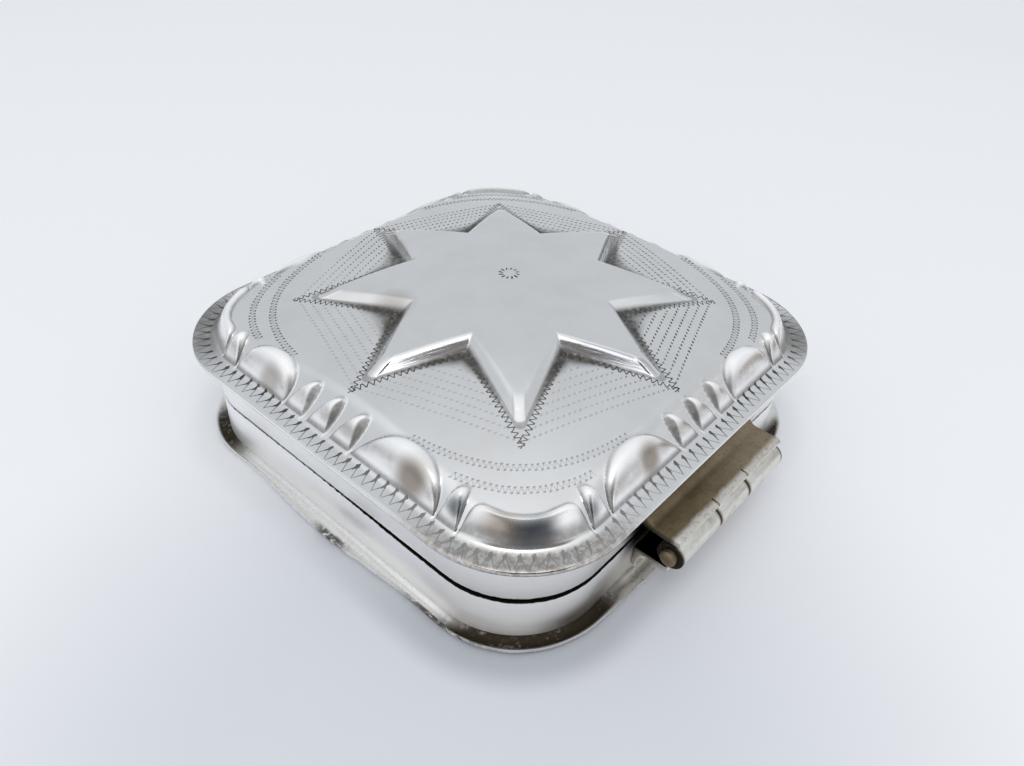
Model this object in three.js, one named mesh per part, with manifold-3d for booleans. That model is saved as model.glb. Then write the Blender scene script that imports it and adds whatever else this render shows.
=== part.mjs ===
// A rounded-square silver mint box: a low body on a wavy base plate, a domed lid embossed with an
// eight-pointed star inside a gadrooned border, and a three-knuckle hinge that stands away from the back.
// Millimetres, +Z up, +Y towards the hinge. The origin is the middle of the underside.
import * as THREE from "three";
import { mergeVertices } from "three/addons/utils/BufferGeometryUtils.js";
import Module from "manifold-3d";

// Plan of the box: squares with round corners, measured from the middle to a side
const rimHalf = 20;
const rimCorner = 8.4;
const rimWidth = 1.55;
const wallInset = 1.4;
const wallSheet = 0.6;

// Heights, from the table up to the lid's rim
const baseSheet = 0.6;
const bodyHeight = 4.2;
const partingGap = 0.3;
const lidBandHeight = 4.1;
const lidSheet = 0.4;

// Flange of the base plate: dished behind its edge, and wavy from long use
const flangeReach = 1.15;
const flangeEdge = 0.35;
const flangeLift = 0.3;
const flangeDish = 0.18;
const flangeWaveOut = 0.35;
const flangeWaveUp = 0.12;
const flangeWaves = [
  { count: 5, share: 0.6, phase: 3.93 },
  { count: 9, share: 0.4, phase: 0.79 },
];

// Upright bezel inside the wall, which the lid band closes over
const bezelSheet = 0.5;
const bezelRise = 2.2;
const bezelClearance = 0.3;

// Domed field of the lid and the star that stands on it; crowns are heights above the rim
const fieldCrown = 4.15;
const fieldRadius = 88;
const starCrown = 5.16;
const starRadius = 61;
const starValley = 8.9;
const starValleyBevel = 0.8;
const starCornerTip = 14.9;
const starTipToFlutes = 2.05;
const starTipBevel = 1.3;
const starTipHalfWidth = 0.45;

// Gadrooned border: a ramp from the rim up to the field, softened at its foot and top
const borderWidth = 3.1;
const borderSlope = 1.25;
const borderSoftness = 0.5;

// Lobes that stand on the border, from the middle of a side to its corner: flutes, a shell, a cusp and
// the corner lobe. A lobe's width runs along the border, its reach is measured in from the rim and its
// height from the ramp. Flutes lean along the border, and the corner lobe sags between its ends.
const flutePitch = 2.5;
const fluteReach = 2;
const fluteHeight = 0.75;
const fluteLean = 1.2;
const leanFade = 3;
const shellWidth = 6.7;
const shellReach = 2.35;
const shellHeight = 0.95;
const cuspWidth = 2.1;
const cuspReach = 2.25;
const cuspHeight = 0.85;
const cornerReach = 1.65;
const cornerSag = 0.45;
const cornerHeight = 0.55;
const lobeSoftness = 1.15;

// Sections of the lobes: the share of the width that they fill, how square, keen and tapered they are,
// how far along the reach the crest lies, and the places across the width where facets start
const petalSection = {
  slim: 0.78,
  squareness: 2,
  keenness: 0.65,
  taper: 0.6,
  crest: 0.45,
  places: [-1, -0.78, -0.45, 0, 0.45, 0.78],
};
const shellSection = {
  slim: 1,
  squareness: 2,
  keenness: 0.5,
  taper: 0.5,
  crest: 0.42,
  places: [-1, -0.85, -0.45, 0, 0.45, 0.85],
};
const cornerSection = {
  slim: 1,
  squareness: 8,
  keenness: 0.5,
  taper: 0.5,
  crest: 0.66,
  places: [-1, -0.95, -0.65, -0.3, 0],
};

// Hinge: the pin stands out from the back wall, level with the parting line
const hingeOut = 2.7;
const hingeLength = 14;
const middleKnuckleLength = 4;
const knuckleRadius = 1.05;
const knuckleGap = 0.1;
const pinRadius = 0.62;
const pinClearance = 0.06;
const pinProud = 0.5;
const pinDome = 0.2;
const plateSheet = 0.5;
const plateClearance = 0.15;
const plateLegSheet = 0.4;
const plateLegHeight = 1.85;
const plateCove = 0.8;
const lidPlateLip = 0.55;
const bodyPlateLip = 0.1;
const slitWidth = 0.2;
const slitDepth = 0.6;

// Fineness of the facets
const cornerSteps = 10;
const roundSteps = 24;
const baseStepsPerSide = 24;
const borderProfile = [1, 0.84, 0.7, 0.58, 0.46, 0.35, 0.24, 0.12, 0];
const borderProfileInside = [0, 0.25, 0.5, 0.75, 1];

// Finishes
const brightSilver = { color: 0xc9ccd0, roughness: 0.22 };
const sheetSilver = { color: 0xc9ccd0, roughness: 0.3 };
const wornSilver = { color: 0xc9ccd0, roughness: 0.35 };
const tarnishedSilver = { color: 0x8f8570, roughness: 0.45 };
const brownMetal = { color: 0x7a6a50, roughness: 0.5 };

// Levels and lines that the sizes above give
const centre = new THREE.Vector2();
const straight = rimHalf - rimCorner;
const flutesEnd = 1.5 * flutePitch;
const shellMiddle = flutesEnd + shellWidth / 2;
const borderToe = rimWidth - borderSoftness / borderSlope;
const wallFace = rimHalf - wallInset;
const lidBandFoot = bodyHeight + partingGap;
const rimUnderside = lidBandFoot + lidBandHeight;
const rimTop = rimUnderside + lidSheet;
const hingeY = wallFace + hingeOut;
const hingeZ = bodyHeight + partingGap / 2;

const wasm = await Module();
wasm.setup();

// A closed geometry as a solid that can be cut
function solidOf(geometry) {
  const bare = geometry.clone();
  bare.deleteAttribute("normal");
  bare.deleteAttribute("uv");
  const merged = mergeVertices(bare);
  return new wasm.Manifold(
    new wasm.Mesh({
      numProp: 3,
      vertProperties: merged.attributes.position.array,
      triVerts: new Uint32Array(merged.index.array),
    }),
  );
}

// A solid back as a geometry
function geometryOf(solid) {
  const mesh = solid.getMesh();
  const geometry = new THREE.BufferGeometry();
  geometry.setAttribute("position", new THREE.BufferAttribute(mesh.vertProperties, 3));
  geometry.setIndex(new THREE.BufferAttribute(mesh.triVerts, 1));
  return geometry;
}

// A piece with its own finish
function piece(name, geometry, finish) {
  const material = new THREE.MeshStandardMaterial({ ...finish, metalness: 1 });
  const mesh = new THREE.Mesh(geometry, material);
  mesh.name = name;
  return mesh;
}

// A point on the rim's outline moved in by an inset. The way along runs from the middle of a side, and is
// measured on the outline that lies in by the given reference; turn says which of the four sides it is on.
function outlinePoint(along, inset, reference, turn) {
  const side = Math.sign(along);
  const bend = Math.max(0, Math.abs(along) - straight) / (rimCorner - reference);
  const radius = rimCorner - inset;
  const x = straight + radius * Math.cos(bend);
  const y = bend > 0 ? side * (straight + radius * Math.sin(bend)) : along;
  return new THREE.Vector2(x, y).rotateAround(centre, (turn * Math.PI) / 2);
}

// Half the length of a side along an outline, from its middle to the middle of its corner
function halfSideAt(inset) {
  return straight + ((rimCorner - inset) * Math.PI) / 4;
}

// A square with round corners, lying in from the rim by an inset
function roundedSquare(inset) {
  const shape = new THREE.Shape();
  const radius = rimCorner - inset;
  for (let turn = 0; turn < 4; turn++) {
    const start = (turn * Math.PI) / 2;
    const middle = start + Math.PI / 4;
    const x = straight * Math.sign(Math.cos(middle));
    const y = straight * Math.sign(Math.sin(middle));
    shape.absarc(x, y, radius, start, start + Math.PI / 2);
  }
  return shape;
}

// An upright strip bent round the box
function strip(inset, sheet, foot, height) {
  const shape = roundedSquare(inset);
  shape.holes.push(roundedSquare(inset + sheet));
  const settings = { depth: height, bevelEnabled: false, curveSegments: cornerSteps / 2 };
  return new THREE.ExtrudeGeometry(shape, settings).translate(0, 0, foot);
}

// A closed surface that runs from a top pole over rings of points to a bottom pole
function surfaceOfRings(topPole, rings, bottomPole) {
  const count = rings[0].length;
  const points = [topPole, ...rings.flat(), bottomPole];
  const bottom = points.length - 1;
  const at = (ring, i) => 1 + ring * count + (i % count);
  const index = [];
  for (let i = 0; i < count; i++) {
    index.push(0, at(0, i), at(0, i + 1));
    for (let ring = 1; ring < rings.length; ring++) {
      index.push(at(ring - 1, i), at(ring, i), at(ring, i + 1));
      index.push(at(ring - 1, i), at(ring, i + 1), at(ring - 1, i + 1));
    }
    index.push(bottom, at(rings.length - 1, i + 1), at(rings.length - 1, i));
  }
  const geometry = new THREE.BufferGeometry();
  const positions = points.flatMap((point) => point.toArray());
  geometry.setAttribute("position", new THREE.Float32BufferAttribute(positions, 3));
  geometry.setIndex(index);
  return geometry;
}

// Base plate: flat under the body, with a dished and wavy flange beyond the wall
function basePlate() {
  const edgeInset = wallInset - flangeReach;
  const halfSide = halfSideAt(edgeInset);
  const stations = [];
  for (let turn = 0; turn < 4; turn++) {
    for (let step = 0; step < baseStepsPerSide; step++) {
      const share = step / baseStepsPerSide;
      const angle = ((turn + share) * Math.PI) / 2;
      const wave = flangeWaves.reduce((sum, w) => sum + w.share * Math.sin(w.count * angle + w.phase), 0);
      stations.push({ along: halfSide * (2 * share - 1), turn, wave });
    }
  }
  const ring = (inset, waveOut, height, waveUp) =>
    stations.map((s) => {
      const point = outlinePoint(s.along, inset - waveOut * s.wave, edgeInset, s.turn);
      return new THREE.Vector3(point.x, point.y, height + waveUp * s.wave);
    });
  const dishInset = (wallInset + edgeInset) / 2;
  const rings = [
    ring(wallInset, 0, baseSheet, 0),
    ring(dishInset, 0, baseSheet - flangeDish, 0),
    ring(edgeInset, flangeWaveOut, flangeLift + flangeEdge, flangeWaveUp),
    ring(edgeInset, flangeWaveOut, flangeLift, flangeWaveUp),
    ring(dishInset, 0, 0, 0),
  ];
  return surfaceOfRings(new THREE.Vector3(0, 0, baseSheet), rings, new THREE.Vector3());
}

// Heights of the lid's field and of the star's top, which are both shallow domes
function fieldHeight(radius) {
  return rimTop + fieldCrown - radius ** 2 / (2 * fieldRadius);
}

function starHeight(radius) {
  return rimTop + starCrown - radius ** 2 / (2 * starRadius);
}

// Stations over half a side: where each lies along the border, and its lobe's height, reach and crest there
function borderStations() {
  const lobes = [];
  const addLobe = (from, width, reach, sag, height, section) =>
    lobes.push({ from, width, reach, sag, height, ...section });
  const cuspFrom = flutesEnd + shellWidth;
  const cornerFrom = cuspFrom + cuspWidth;
  const cornerWidth = 2 * (halfSideAt(rimWidth) - cornerFrom);
  addLobe(-flutePitch / 2, flutePitch, fluteReach, 0, fluteHeight, petalSection);
  addLobe(flutePitch / 2, flutePitch, fluteReach, 0, fluteHeight, petalSection);
  addLobe(flutesEnd, shellWidth, shellReach, 0, shellHeight, shellSection);
  addLobe(cuspFrom, cuspWidth, cuspReach, 0, cuspHeight, petalSection);
  addLobe(cornerFrom, cornerWidth, cornerReach, cornerSag, cornerHeight, cornerSection);
  const stations = [];
  for (const lobe of lobes) {
    for (const across of lobe.places) {
      const along = lobe.from + (lobe.width * (1 + across)) / 2;
      const full = Math.max(0, 1 - Math.abs(across / lobe.slim) ** lobe.squareness);
      const reach = (lobe.reach + lobe.sag * across ** 2) * full ** lobe.taper;
      const height = lobe.height * full ** lobe.keenness;
      stations.push({ along, height, reach, crest: lobe.crest });
    }
  }
  return stations.filter((s) => s.along >= 0);
}

// A point of the star's outline at a station, between a blunt tip and the valley in the middle of the shell
function starPoint(station, valleyStation, last, sideTip, cornerTip, valley) {
  const towardsCorner = station > valleyStation;
  const fromTip = towardsCorner ? last - station : station;
  const edgeSteps = (towardsCorner ? last - valleyStation : valleyStation) - 1;
  const tip = towardsCorner ? cornerTip : sideTip;
  const tipMiddle = new THREE.Vector2(tip, 0);
  const tipCorner = new THREE.Vector2(tip, starTipHalfWidth);
  const valleyPoint = new THREE.Vector2(valley, 0).rotateAround(centre, Math.PI / 8);
  const share = (fromTip - 1) / edgeSteps;
  const point = fromTip === 0 ? tipMiddle : tipCorner.lerp(valleyPoint, share);
  if (!towardsCorner) return point;
  return new THREE.Vector2(point.x, -point.y).rotateAround(centre, Math.PI / 4);
}

// How much a corner between two surfaces is rounded where they differ by a height
function rounding(difference) {
  return Math.max(0, borderSoftness - Math.abs(difference)) ** 2 / (4 * borderSoftness);
}

// Height of the border without its lobes: a ramp that starts at the rim and ends on the field's dome
function borderHeight(inset, radius) {
  const climb = (inset - rimWidth) * borderSlope;
  const ramp = rimTop + Math.max(0, climb) + rounding(climb);
  const dome = fieldHeight(radius);
  return Math.min(dome, ramp) - rounding(dome - ramp);
}

// Height of a lobe above the border at an inset, for a lobe that starts at a foot inside the rim
function lobeHeight(station, inset, foot) {
  const length = station.reach - foot;
  const share = (inset - rimWidth - foot) / length;
  if (length <= 0 || share <= 0 || share >= 1) return 0;
  const turnedShare = share ** (Math.log(0.5) / Math.log(station.crest));
  return station.height * Math.sin(Math.PI * turnedShare) ** lobeSoftness;
}

// How far a point at an inset is moved along the border, so that the flutes lean
function leanAt(along, inset) {
  const near = THREE.MathUtils.clamp(1 + (flutesEnd - Math.abs(along)) / leanFade, 0, 1);
  const low = THREE.MathUtils.clamp(1 - (inset - rimWidth) / fluteReach, 0, 1);
  return fluteLean * near * low;
}

// Embossed lid sheet: rings run out from the middle over the star, the field, the border and the flat rim.
// They run back underneath, a sheet lower and, under the border, a sheet further in. The flutes of
// neighbouring sides lean opposite ways.
function lidTop() {
  const half = borderStations();
  const last = half.length - 1;
  const valleyStation = half.findIndex((s) => s.along === shellMiddle);
  const sideTip = rimHalf - rimWidth - fluteReach - starTipToFlutes;
  const topSideTip = sideTip - starTipBevel;
  const topCornerTip = starCornerTip - starTipBevel;
  const insideFoot = rimWidth + lidSheet;
  const insideWidth = borderWidth - lidSheet;
  const topValley = starValley - starValleyBevel;
  const stations = [];
  for (let turn = 0; turn < 4; turn++) {
    const ahead = (turn * Math.PI) / 2;
    for (let step = -last; step < last; step++) {
      const flip = step < 0 ? -1 : 1;
      const i = Math.abs(step);
      const place = (p) => new THREE.Vector2(p.x, p.y * flip).rotateAround(centre, ahead);
      const foot = place(starPoint(i, valleyStation, last, sideTip, starCornerTip, starValley));
      const top = place(starPoint(i, valleyStation, last, topSideTip, topCornerTip, topValley));
      const way = flip * half[i].along;
      const leaning = turn % 2 === 0 ? -1 : 1;
      const inward = (inset) => outlinePoint(way + leaning * leanAt(way, inset), inset, rimWidth, turn);
      stations.push({ ...half[i], foot, top, inward });
    }
  }
  const raised = (point, height) => new THREE.Vector3(point.x, point.y, height);
  const starRing = (share, drop) =>
    stations.map((s) => {
      const point = s.top.clone().multiplyScalar(share);
      return raised(point, starHeight(point.length()) - drop);
    });
  const fieldRing = (share, drop) =>
    stations.map((s) => {
      const point = s.foot.clone().lerp(s.inward(rimWidth + borderWidth), share);
      return raised(point, fieldHeight(point.length()) - drop);
    });
  const borderRing = (inset, drop) =>
    stations.map((s) => {
      const point = s.inward(inset);
      const base = borderHeight(inset - drop, point.length());
      return raised(point, base + lobeHeight(s, inset, drop) - drop);
    });
  const edgeRing = (height) => stations.map((s) => raised(s.inward(0), height));
  const rings = [
    starRing(0.5, 0),
    starRing(1, 0),
    fieldRing(0, 0),
    fieldRing(0.5, 0),
    ...borderProfile.map((share) => borderRing(rimWidth + share * borderWidth, 0)),
    borderRing(borderToe, 0),
    edgeRing(rimTop),
    edgeRing(rimUnderside),
    borderRing(borderToe + lidSheet, lidSheet),
    ...borderProfileInside.map((share) => borderRing(insideFoot + share * insideWidth, lidSheet)),
    fieldRing(0, lidSheet),
    starRing(1, lidSheet),
  ];
  const topPole = new THREE.Vector3(0, 0, starHeight(0));
  const bottomPole = new THREE.Vector3(0, 0, starHeight(0) - lidSheet);
  return surfaceOfRings(topPole, rings, bottomPole);
}

// A knuckle: a tube along the hinge line between two places
function knuckle(from, to) {
  const bore = pinRadius + pinClearance;
  const profile = [
    new THREE.Vector2(bore, from),
    new THREE.Vector2(knuckleRadius, from),
    new THREE.Vector2(knuckleRadius, to),
    new THREE.Vector2(bore, to),
    new THREE.Vector2(bore, from),
  ];
  return alongHinge(new THREE.LatheGeometry(profile, roundSteps));
}

// The pin, with rounded ends that stand out of the end knuckles
function hingePin() {
  const end = hingeLength / 2 + pinProud;
  const shoulder = end - pinDome;
  const domeEdge = pinRadius * Math.SQRT1_2;
  const domeDrop = pinDome * (1 - Math.SQRT1_2);
  const profile = [
    new THREE.Vector2(0, -end),
    new THREE.Vector2(domeEdge, -end + domeDrop),
    new THREE.Vector2(pinRadius, -shoulder),
    new THREE.Vector2(pinRadius, shoulder),
    new THREE.Vector2(domeEdge, end - domeDrop),
    new THREE.Vector2(0, end),
  ];
  return alongHinge(new THREE.LatheGeometry(profile, roundSteps));
}

// Turns a revolved form from the upright axis onto the hinge line
function alongHinge(geometry) {
  return geometry.rotateZ(-Math.PI / 2).translate(0, hingeY, hingeZ);
}

// A hinge plate: a leg on the wall, a cove and a flat lip past the pin, on one side of the hinge line
function hingePlate(side, lip) {
  const reach = hingeOut + lip;
  const knuckleFace = side * (knuckleRadius + plateClearance);
  const face = side * plateSheet;
  const shape = new THREE.Shape();
  shape.moveTo(0, 0);
  shape.lineTo(reach, 0);
  shape.quadraticCurveTo(reach, face, reach - plateSheet, face);
  shape.lineTo(plateLegSheet + plateCove, face);
  shape.quadraticCurveTo(plateLegSheet, face, plateLegSheet, face + side * plateCove);
  shape.lineTo(plateLegSheet, side * plateLegHeight);
  shape.lineTo(0, side * plateLegHeight);
  const settings = { depth: hingeLength, bevelEnabled: false, curveSegments: cornerSteps / 2 };
  const ontoHinge = new THREE.Matrix4().makeBasis(
    new THREE.Vector3(0, 1, 0),
    new THREE.Vector3(0, 0, 1),
    new THREE.Vector3(1, 0, 0),
  );
  const plate = new THREE.ExtrudeGeometry(shape, settings).applyMatrix4(ontoHinge);
  return plate.translate(-hingeLength / 2, wallFace, hingeZ + knuckleFace);
}

// The lid's plate is slit at both seams between the knuckles
function lidHingePlate() {
  let solid = solidOf(hingePlate(1, lidPlateLip));
  const plateTop = knuckleRadius + plateClearance + plateSheet;
  for (const side of [-1, 1]) {
    const cut = new THREE.BoxGeometry(slitWidth, 2 * slitDepth, 4 * plateTop);
    cut.translate((side * middleKnuckleLength) / 2, hingeY + lidPlateLip, hingeZ);
    solid = solid.subtract(solidOf(cut));
  }
  return geometryOf(solid);
}

const seam = middleKnuckleLength / 2;
const seamEdge = knuckleGap / 2;
const knuckleEnd = hingeLength / 2;
const bezelInset = wallInset + wallSheet + bezelClearance;
const bezelHeight = bodyHeight + bezelRise - baseSheet;

const body = new THREE.Group();
body.add(piece("base_plate", basePlate(), wornSilver));
body.add(piece("body_wall", strip(wallInset, wallSheet, baseSheet, bodyHeight - baseSheet), sheetSilver));
body.add(piece("inner_bezel", strip(bezelInset, bezelSheet, baseSheet, bezelHeight), sheetSilver));
body.add(piece("body_hinge_plate", hingePlate(-1, bodyPlateLip), tarnishedSilver));
body.add(piece("body_knuckle_near", knuckle(seam + seamEdge, knuckleEnd), wornSilver));
body.add(piece("body_knuckle_far", knuckle(-knuckleEnd, -seam - seamEdge), wornSilver));
body.add(piece("hinge_pin", hingePin(), brownMetal));

const lid = new THREE.Group();
lid.add(piece("lid_top", lidTop(), brightSilver));
lid.add(piece("lid_band", strip(wallInset, wallSheet, lidBandFoot, lidBandHeight), sheetSilver));
lid.add(piece("lid_hinge_plate", lidHingePlate(), tarnishedSilver));
lid.add(piece("lid_knuckle", knuckle(-seam + seamEdge, seam - seamEdge), wornSilver));

const mintBox = new THREE.Group();
mintBox.add(body, lid);

export default mintBox;
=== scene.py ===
"""Looks of the mint box: the embossed and engraved lid, the worn walls and flange, the tarnished hinge."""

import math

import bmesh
import bpy
import numpy as np
from mathutils import Matrix, Vector


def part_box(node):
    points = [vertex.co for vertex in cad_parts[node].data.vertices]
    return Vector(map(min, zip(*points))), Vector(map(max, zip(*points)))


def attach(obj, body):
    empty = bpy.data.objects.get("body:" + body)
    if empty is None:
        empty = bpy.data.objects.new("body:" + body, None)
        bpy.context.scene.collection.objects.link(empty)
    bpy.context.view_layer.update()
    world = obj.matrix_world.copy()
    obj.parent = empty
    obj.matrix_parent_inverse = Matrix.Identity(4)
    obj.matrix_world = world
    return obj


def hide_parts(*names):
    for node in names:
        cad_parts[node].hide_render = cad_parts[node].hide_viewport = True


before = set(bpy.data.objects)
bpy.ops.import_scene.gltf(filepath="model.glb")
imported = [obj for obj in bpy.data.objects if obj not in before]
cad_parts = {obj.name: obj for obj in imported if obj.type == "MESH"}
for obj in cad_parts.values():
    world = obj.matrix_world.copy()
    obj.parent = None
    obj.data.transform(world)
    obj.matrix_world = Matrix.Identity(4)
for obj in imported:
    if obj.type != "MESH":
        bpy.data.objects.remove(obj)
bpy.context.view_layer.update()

MM = 0.001

# Places that the solids give
RIM_UNDER, RIM_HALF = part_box("lid_top")[0].z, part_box("lid_top")[1].x
WALL_LOW, WALL_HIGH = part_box("body_wall")
BAND_LOW, BAND_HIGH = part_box("lid_band")
BEZEL_LOW, BEZEL_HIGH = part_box("inner_bezel")
PIN_LOW, PIN_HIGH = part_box("hinge_pin")
HINGE_Y, HINGE_Z = (PIN_LOW.y + PIN_HIGH.y) / 2, (PIN_LOW.z + PIN_HIGH.z) / 2
KNUCKLE_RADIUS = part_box("lid_knuckle")[1].z - HINGE_Z
SEAM_X = (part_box("lid_knuckle")[1].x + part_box("body_knuckle_near")[0].x) / 2

# Plan and relief of the lid, as in the part's source
RIM_CORNER = 8.4 * MM
RIM_WIDTH = 1.55 * MM
LID_SHEET = 0.4 * MM
RIM_TOP = RIM_UNDER + LID_SHEET
STRAIGHT = RIM_HALF - RIM_CORNER
HALF_SIDE = STRAIGHT + (RIM_CORNER - RIM_WIDTH) * math.pi / 4
FIELD_CROWN, FIELD_RADIUS = 4.15 * MM, 88 * MM
STAR_CROWN, STAR_RADIUS = 5.16 * MM, 61 * MM
STAR_SIDE_TIP, STAR_CORNER_TIP, STAR_VALLEY = 14.4 * MM, 14.9 * MM, 8.9 * MM
STAR_TIP_BEVEL, STAR_VALLEY_BEVEL, STAR_TIP_HALF = 1.3 * MM, 0.8 * MM, 0.45 * MM
BEVEL_FOOT, BEVEL_SHOULDER = -0.25, 1.6
BORDER_WIDTH, BORDER_SLOPE, BORDER_SOFTNESS, LOBE_SOFTNESS = 3.1 * MM, 1.25, 0.5 * MM, 1.15
TIP_STEPS = 4
VALLEY_WAY = np.array([math.cos(math.pi / 8), math.sin(math.pi / 8)])

# Lobes of the border from the middle of a side to its corner, in mm: start, width, reach, sag, height
# and section. A section gives the share of the width, squareness, keenness, taper, and the crest's place.
PETAL, ROUND, BROAD = (0.78, 2, 0.65, 0.6, 0.45), (1, 2, 0.5, 0.5, 0.42), (1, 8, 0.5, 0.5, 0.66)
CORNER_START = 12.55
FLUTE_LEAN, FLUTE_REACH, FLUTES_END, LEAN_FADE = 1.2 * MM, 2.0 * MM, 3.75 * MM, 3 * MM
LOBES = (
    (-1.25, 2.5, 2.0, 0, 0.75, PETAL),
    (1.25, 2.5, 2.0, 0, 0.75, PETAL),
    (3.75, 6.7, 2.35, 0, 0.95, ROUND),
    (10.45, 2.1, 2.25, 0, 0.7, PETAL),
    (CORNER_START, 2 * (HALF_SIDE / MM - CORNER_START), 1.65, 0.45, 0.55, BROAD),
)

# Sheets of the body and the hinge
WALL_SHEET = 0.6 * MM
BEZEL_SHEET = 0.5 * MM
BASE_SHEET = 0.6 * MM
FLANGE_REACH, FLANGE_WAVE_OUT, FLANGE_WAVE_UP = 1.15 * MM, 0.35 * MM, 0.12 * MM
FLANGE_WAVES = ((5, 0.6, 3.93), (9, 0.4, 0.79))
PLATE_GAP, PLATE_SHEET, PLATE_LEG = 0.15 * MM, 0.5 * MM, 0.4 * MM
PLATE_HEIGHT, PLATE_COVE = 1.85 * MM, 0.8 * MM
SLIT_HALF, SLIT_DEPTH = 0.1 * MM, 0.6 * MM
KNUCKLE_BORE, PIN_RADIUS = 0.68 * MM, 0.62 * MM

# Engraved outlines: the star's points run on past the embossed ones
CUT_SIDE_TIP, CUT_CORNER_TIP, CUT_VALLEY = 15.85 * MM, 16.6 * MM, 9.15 * MM
RIM_CUTS = 158
SECTOR_LINES = 7

# Stains and painted reflections on the lobes of the border, and stains on the flange: place and reach in mm,
# and strength
BROWN_STAINS_AND_REFLECTIONS = ((16.9, 14.8, 9.8, 2.3, 0.8), (17.9, 8.0, 10.3, 2.1, 0.85), (5.9, 17.9, 10.4, 1.7, 0.85),
                (18.1, -6.6, 10.0, 1.8, 0.6))
BLUE_REFLECTIONS = ((15.5, 16.5, 9.8, 2.0, 0.85), (17.6, 11.9, 10.4, 1.1, 0.8), (12.1, 17.6, 10.1, 1.1, 0.75))
FLANGE_GRIME = ((12.2, 18.7, 0.5, 5.4, 1), (18.2, -14.4, 0.5, 5.5, 1))
FLANGE_BLOTS = ((19.6, 0.9, 0.5, 2.4, 1), (18.6, 11.8, 0.5, 5, 1))

# Places on the lid in mm, and ways that its facets look. The flutes and the far way tell where shade is
# painted, the reflecting facet and its way where a reflection is painted.
LEFT_CORNER, RIGHT_CORNER = (16.6, -16.6, 9.2), (-15.4, 17.0, 9.4)
LEFT_FLUTES, HINGE_FLUTES = (17.7, 0, 10), (0, 17.7, 10)
REFLECTING_FACET, STAR_STAIN = (2.0, 11.3, 12.3), (8.6, -4.0, 12.4)
FAR_WAY, REFLECTING_FACET_WAY = (-0.77, -0.64, 0), (0.9, 0.43, 0)

# Colours of the silver where it is not clean, and of the shade and reflections painted on it
DULL_INSIDE, DULL_BEZEL, FACET_REFLECTION_GREY = (0.72, 0.68, 0.58, 1), (0.66, 0.6, 0.5, 1), (0.48, 0.485, 0.515, 1)
WARM_SILVER, WORN_SILVER, TARNISH = (0.84, 0.81, 0.77, 1), (0.88, 0.86, 0.82, 1), (0.42, 0.37, 0.29, 1)
BROWN, REFLECTED_BLUE, DIRT_AND_SHADE = (0.27, 0.215, 0.165, 1), (0.13, 0.15, 0.18, 1), (0.1, 0.092, 0.08, 1)
GRIME, GAP_SHADE_BLACK = (0.045, 0.036, 0.025, 1), (0.015, 0.013, 0.01, 1)
BEZEL_GAP_SHADE, HOLLOW_SHADE_BLACK = (0.012, 0.011, 0.01, 1), (0.012, 0.01, 0.008, 1)

# Engraving tools in mm: each stroke is a line of points and the widths along it
CUTS = {
    "rim_cut": (
        (((0.02, 0.04), (-0.1, -0.28), (-0.26, -0.66), (-0.4, -0.98)), (0.18, 0.14, 0.1, 0.07)),
        (((0, 0.02), (0.14, -0.28), (0.3, -0.64), (0.45, -0.96)), (0.1, 0.08, 0.07, 0.08)),
        (((0.03, 0.24), (0, 0.1), (-0.02, -0.12), (-0.05, -0.42)), (0.08, 0.34, 0.28, 0.05)),
    ),
    "star_cut": (
        (((-0.23, -0.2), (-0.16, -0.08), (-0.07, 0.1), (0, 0.22)), (0.22, 0.13, 0.13, 0.2)),
        (((0, 0.22), (0.07, 0.1), (0.16, -0.08), (0.23, -0.2)), (0.18, 0.12, 0.12, 0.2)),
    ),
    "band_cut": (
        (((-0.19, -0.21), (-0.14, -0.1), (-0.05, 0.1), (0, 0.21)), (0.06, 0.04, 0.04, 0.06)),
        (((0, 0.21), (0.05, 0.1), (0.14, -0.1), (0.19, -0.21)), (0.06, 0.04, 0.04, 0.06)),
        (((-0.1, 0.17), (-0.04, 0.2), (0.04, 0.23), (0.1, 0.26)), (0.07, 0.17, 0.17, 0.06)),
        (((-0.29, -0.26), (-0.23, -0.23), (-0.15, -0.2), (-0.09, -0.17)), (0.07, 0.17, 0.17, 0.06)),
    ),
    "sector_cut": ((((-0.1, -0.07), (-0.04, -0.03), (0.04, 0.03), (0.1, 0.07)), (0.1, 0.22, 0.22, 0.1)),),
    "rosette_cut": ((((-0.05, -0.18), (-0.01, -0.06), (0.01, 0.07), (0.04, 0.19)), (0.1, 0.23, 0.23, 0.09)),),
}


def sum_of(operation):
    """A sum of sockets as a maths node."""
    return lambda value, other: value.math(operation, other)


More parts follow.
